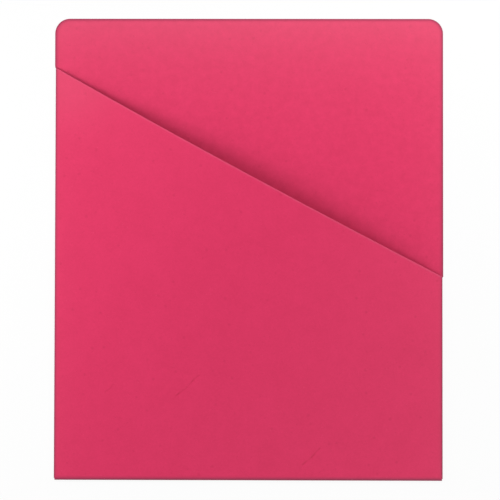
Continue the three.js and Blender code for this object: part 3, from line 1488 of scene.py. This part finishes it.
@dataclass
class Felt(JacketPart):
    """Short fibres: some lying in the faces of the card, and some standing out of its cut edges."""

    density: float = 36000.0
    length: float = 0.9 * MM
    radius: float = 0.022 * MM
    bend: float = 0.3
    sizes: Pair = (0.45, 1.5)
    flatness: float = 0.5
    least_facing: float = 0.8
    size_seed_shift: float = 3.0
    seed_stride: int = 10
    fuzz_length: float = 0.22 * MM
    fuzz_radius: float = 0.008 * MM
    fuzz_bend: float = 0.5
    fuzz_sizes: Pair = (0.4, 1.3)
    fuzz_turns: tuple[Triple, Triple] = ((-0.6, -0.9, 0.4), (0.6, 0.9, 2.7))
    fuzz_per_metre: float = 2200.0
    fuzz_spread: float = 0.35
    fuzz_seed: int = 77
    path_points: int = 160
    strand_sides: int = 5
    strand_rings: int = 5
    strand_taper: float = 0.52

    def build(self, panels: dict[str, bpy.types.Object]) -> list[bpy.types.Object]:
        """Scatters the fibres over the panels and along the slanted cut.

        Args:
            panels: The sheets to scatter over, by the word that names them.

        Returns:
            One object for each scatter.
        """
        lying = self._lying_tree()
        fibres = self.finishes.fibres
        made = []
        for index, (label, panel) in enumerate(panels.items()):
            for shift, (tone, finish) in enumerate(fibres.items()):
                values = {
                    "Density": self.density / len(fibres),
                    "Fibre Length": self.length,
                    "Fibre Radius": self.radius,
                    "Seed": self.seed_stride * index + shift,
                    "Finish": finish,
                }
                name = f"{label}_{tone.value}_fibres"
                made.append(grow(name, panel.data.copy(), lying, values))
        made.append(self._fuzz())
        return [settle(piece, Slot.CARD) for piece in made]

    def _strand(self, graph: ShapeGraph, bend: float) -> Socket:
        """Adds one fibre: a tapering, slightly bent strand along X.

        Args:
            graph: The tree, which has a Fibre Length and a Fibre Radius.
            bend: How far the fibre's ends lie aside, as a share of its length.

        Returns:
            The fibre.
        """
        length = graph.value("Fibre Length")
        tube = {
            "Vertices": self.strand_sides,
            "Side Segments": self.strand_rings,
            "Radius": graph.value("Fibre Radius"),
            "Depth": length,
        }
        upright = graph.wire("GeometryNodeMeshCylinder", tube)
        tipped = {"Geometry": upright, "Rotation": Euler((0, math.pi / 2, 0))}
        laid = graph.wire("GeometryNodeTransform", tipped)
        x, y, z = graph.split(graph.wire("GeometryNodeInputPosition"))
        share = graph.math("DIVIDE", x, graph.math("MULTIPLY", length, self.strand_taper))
        square = graph.math("MULTIPLY", share, share)
        thin = graph.math("SQRT", graph.math("SUBTRACT", 1.0, square))
        aside = graph.math("MULTIPLY", graph.math("MULTIPLY", square, length), bend)
        bent = graph.math("MULTIPLY_ADD", y, thin, aside)
        return graph.moved(laid, Position=graph.combine(x, bent, graph.math("MULTIPLY", z, thin)))

    def _lying_tree(self) -> ShapeGraph:
        """Writes the tree that lays fibres in the upper face of a sheet.

        Returns:
            The tree, whose input mesh carries its distances from the rim.
        """
        graph = ShapeGraph(
            "lying_fibres",
            Density="Float",
            Fibre_Length="Float",
            Fibre_Radius="Float",
            Seed="Int",
            Finish="Material",
        )
        seed = graph.value("Seed")
        facing = graph.split(graph.wire("GeometryNodeInputNormal"))[2]
        facing_up = graph.math("GREATER_THAN", facing, self.least_facing)
        read = {"Name": "from_rim"}
        rim = graph.wire("GeometryNodeInputNamedAttribute", read, "Attribute", data_type="FLOAT")
        inland = graph.math("GREATER_THAN", rim, graph.value("Fibre Length"))
        spots = {
            "Mesh": graph.value("Geometry"),
            "Selection": graph.math("MULTIPLY", facing_up, inland),
            "Density": graph.value("Density"),
            "Seed": seed,
        }
        scattered = graph.add("GeometryNodeDistributePointsOnFaces", spots).outputs
        spin = graph.combine(z=graph.random(0.0, 2 * math.pi, seed))
        turned = {"Rotation": scattered["Rotation"], "Rotate By": spin}
        settings = {"rotation_type": "EULER", "space": "LOCAL"}
        size = graph.random(*self.sizes, graph.math("ADD", seed, self.size_seed_shift))
        laid = {
            "Points": scattered["Points"],
            "Instance": self._strand(graph, self.bend),
            "Rotation": graph.wire("FunctionNodeRotateEuler", turned, **settings),
            "Scale": graph.combine(size, size, self.flatness),
        }
        graph.finish(graph.wire("GeometryNodeInstanceOnPoints", laid))
        return graph

    def _fuzz_tree(self) -> ShapeGraph:
        """Writes the tree that stands tiny fibres out of a path, in every heading.

        Returns:
            The tree, whose input mesh is the path.
        """
        graph = ShapeGraph(
            "edge_fuzz",
            Count="Int",
            Fibre_Length="Float",
            Fibre_Radius="Float",
            Spread="Float",
            Seed="Int",
            Finish="Material",
        )
        path = graph.wire("GeometryNodeMeshToCurve", {"Mesh": graph.value("Geometry")})
        resampled = {"Curve": path, "Count": graph.value("Count")}
        points = graph.wire("GeometryNodeResampleCurve", resampled)
        spread = graph.value("Spread")
        below = graph.math("MULTIPLY", spread, -1.0)
        seeds = [graph.math("ADD", graph.value("Seed"), float(step)) for step in range(3)]
        low, high = graph.combine(x=below, z=below), graph.combine(x=spread, z=spread)
        jitter = graph.random(low, high, seeds[0], "FLOAT_VECTOR")
        stood = {
            "Points": graph.moved(points, Offset=jitter),
            "Instance": self._strand(graph, self.fuzz_bend),
            "Rotation": graph.random(*self.fuzz_turns, seeds[1], "FLOAT_VECTOR"),
            "Scale": graph.random(*self.fuzz_sizes, seeds[2]),
        }
        graph.finish(graph.wire("GeometryNodeInstanceOnPoints", stood))
        return graph

    def _fuzz(self) -> bpy.types.Object:
        """Stands fuzz out of the slanted cut.

        Returns:
            The new object.
        """
        blank = self.blank
        x = np.linspace(-blank.panel_x, blank.panel_x, self.path_points)
        y = self.mouth.cut_y(x)
        z = self.mouth.card_middle(x, y, blank.pocket_gap)
        host = path_mesh("mouth_path", np.stack([x, y, z], -1), False)
        values = {
            "Count": round(self.fuzz_per_metre * 2 * blank.panel_x),
            "Fibre Length": self.fuzz_length,
            "Fibre Radius": self.fuzz_radius,
            "Spread": blank.card * self.fuzz_spread,
            "Seed": self.fuzz_seed,
            "Finish": self.finishes.fibres[FibreTone.PALE],
        }
        return grow("mouth_fuzz", host, self._fuzz_tree(), values)


@dataclass
class Jacket:
    """The whole file jacket."""

    edge: CutEdge = CutEdge()
    step_gap: float = 0.02 * MM
    creases: tuple[Crease, ...] = (
        Crease(
            start=(-47.8 * MM, -95.9 * MM),
            end=(-29.7 * MM, -79.3 * MM),
            depth=0.09 * MM,
            beads=(0.2, 0.7, 0.93),
        ),
        Crease(
            start=(33.6 * MM, -138.4 * MM),
            end=(47.0 * MM, -125.5 * MM),
            depth=0.09 * MM,
            beads=(0.1, 0.2, 0.5, 0.6, 0.9),
        ),
        Crease(
            start=(-91.7 * MM, -92.2 * MM),
            end=(-84.1 * MM, -85.2 * MM),
            depth=0.035 * MM,
            beads=(),
        ),
    )

    def build(self) -> list[bpy.types.Object]:
        """Builds every piece of the jacket in order.

        Returns:
            The pieces.
        """
        blank = Blank.from_frame()
        finishes = Finishes(blank)
        mouth = Mouth(blank)
        shared = (blank, mouth, self.edge, finishes)
        panels = {
            "back": BackPanel(*shared).build(),
            "front": FrontPanel(*shared, self.creases).build(),
        }
        made = list(panels.values())
        for side in Side:
            made += SideSeam(*shared, side).build()
        tree = fold_tree()
        for fold in self._folds(blank, mouth):
            made.append(fold.build(tree, finishes))
        made += Felt(*shared).build(panels)
        return made

    def _folds(self, blank: Blank, mouth: Mouth) -> list[ScoredFold]:
        """Sizes the three folds, with the side folds drawn out almost to the steps above them.

        Args:
            blank: The sizes of the jacket.
            mouth: The slanted cut, which sets where the steps are.

        Returns:
            The foot fold, then the left and right side folds.
        """
        card = blank.card
        foot_outward = Vector((0, -1, 0))
        folds = [ScoredFold("foot_fold_card", "foot_fold", blank.pocket_gap, card, foot_outward)]
        for side in Side:
            node = f"{side.label}_side_fold"
            name = f"{side.label}_fold_card"
            outward = Vector((side.value, 0, 0))
            stretch = mouth.step_y(side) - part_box(node)[1].y - self.step_gap
            folds.append(ScoredFold(name, node, blank.flap_gap, card, outward, stretch))
        return folds


@dataclass(frozen=True)
class Softbox:
    """A square lamp with a soft face, which points at the middle of the jacket."""

    name: str
    place: Triple
    size: float
    power: float

    def hang(self) -> None:
        """Adds the lamp to the scene, out of the camera's sight."""
        data = bpy.data.lights.new(self.name, "AREA")
        data.shape = "SQUARE"
        data.size = self.size
        data.energy = self.power
        lamp = add_object(self.name, data)
        lamp.location = self.place
        lamp.rotation_euler = Vector(self.place).to_track_quat("Z", "Y").to_euler()
        lamp.visible_camera = False


@dataclass
class Studio:
    """The pale floor, the soft light and the camera above the jacket."""

    floor_size: float = 4.0
    floor_drop: float = 0.02 * MM
    floor_tone: float = 0.8
    floor_roughness: float = 0.9
    whiteness: float = 0.9
    sky: float = 0.23
    softboxes: tuple[Softbox, ...] = (
        Softbox("left_softbox", (-0.50, 0.06, 0.16), 0.25, 2.22),
        Softbox("head_right_softbox", (0.40, 0.28, 0.25), 0.3, 1.525),
        Softbox("head_softbox", (0.00, 0.27, 0.16), 0.25, 0.209),
        Softbox("foot_left_softbox", (-0.45, -0.55, 0.70), 0.5, 0.95),
        Softbox("foot_right_softbox", (0.45, -0.55, 0.70), 0.5, 3.75),
    )
    camera_height: float = 1.1
    camera_aside: Pair = (10.6 * MM, -30.1 * MM)
    camera_turn: Triple = (1.527, 0.499, 0.118)
    lens: float = 124.28
    sensor: float = 36.0

    def build(self) -> None:
        """Sets up the whole studio."""
        self._floor()
        self._sky()
        for softbox in self.softboxes:
            softbox.hang()
        self._camera()

    def _floor(self) -> None:
        """Lays a pale floor that looks white to the camera and still keeps the jacket's shadow."""
        half = self.floor_size / 2
        signs = ((-1, -1), (1, -1), (1, 1), (-1, 1))
        corners = [(x * half, y * half, -self.floor_drop) for x, y in signs]
        mesh = bpy.data.meshes.new("floor")
        mesh.from_pydata(corners, [], [(0, 1, 2, 3)])
        graph = ShaderGraph("pale_floor")
        looks = {"Base Color": (self.floor_tone,) * 3, "Roughness": self.floor_roughness}
        matt = graph.wire("ShaderNodeBsdfPrincipled", looks)
        share = graph.math("MULTIPLY", graph.by_camera(), self.whiteness)
        white = graph.wire("ShaderNodeEmission")
        mesh.materials.append(graph.finish(graph.seen_as(share, matt, white)))
        add_object("floor", mesh)

    def _sky(self) -> None:
        """Surrounds the jacket with even light, which the camera sees as white."""
        world = bpy.data.worlds.new("sky")
        world.use_nodes = True
        bpy.context.scene.world = world
        graph = Graph(world.node_tree)
        light, white = (
            graph.wire("ShaderNodeBackground", {"Color": (1.0, 1.0, 1.0), "Strength": strength})
            for strength in (self.sky, 1.0)
        )
        mixed = graph.seen_as(graph.by_camera(), light, white)
        graph.add("ShaderNodeOutputWorld", {"Surface": mixed})

    def _camera(self) -> None:
        """Hangs the camera over the jacket, turned as the photograph was taken."""
        data = bpy.data.cameras.new("camera")
        data.lens = self.lens
        data.sensor_width = self.sensor
        camera = add_object("camera", data)
        camera.location = (*self.camera_aside, self.camera_height)
        camera.rotation_euler = Euler([math.radians(angle) for angle in self.camera_turn])
        bpy.context.scene.camera = camera


def main() -> None:
    """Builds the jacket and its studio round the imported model."""
    logging.basicConfig(level=logging.INFO, format="%(name)s: %(message)s")
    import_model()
    bpy.context.scene.view_settings.view_transform = "Standard"
    Studio().build()
    pieces = Jacket().build()
    LOG.info("built %d pieces", len(pieces))


if __name__ == "__main__":
    main()
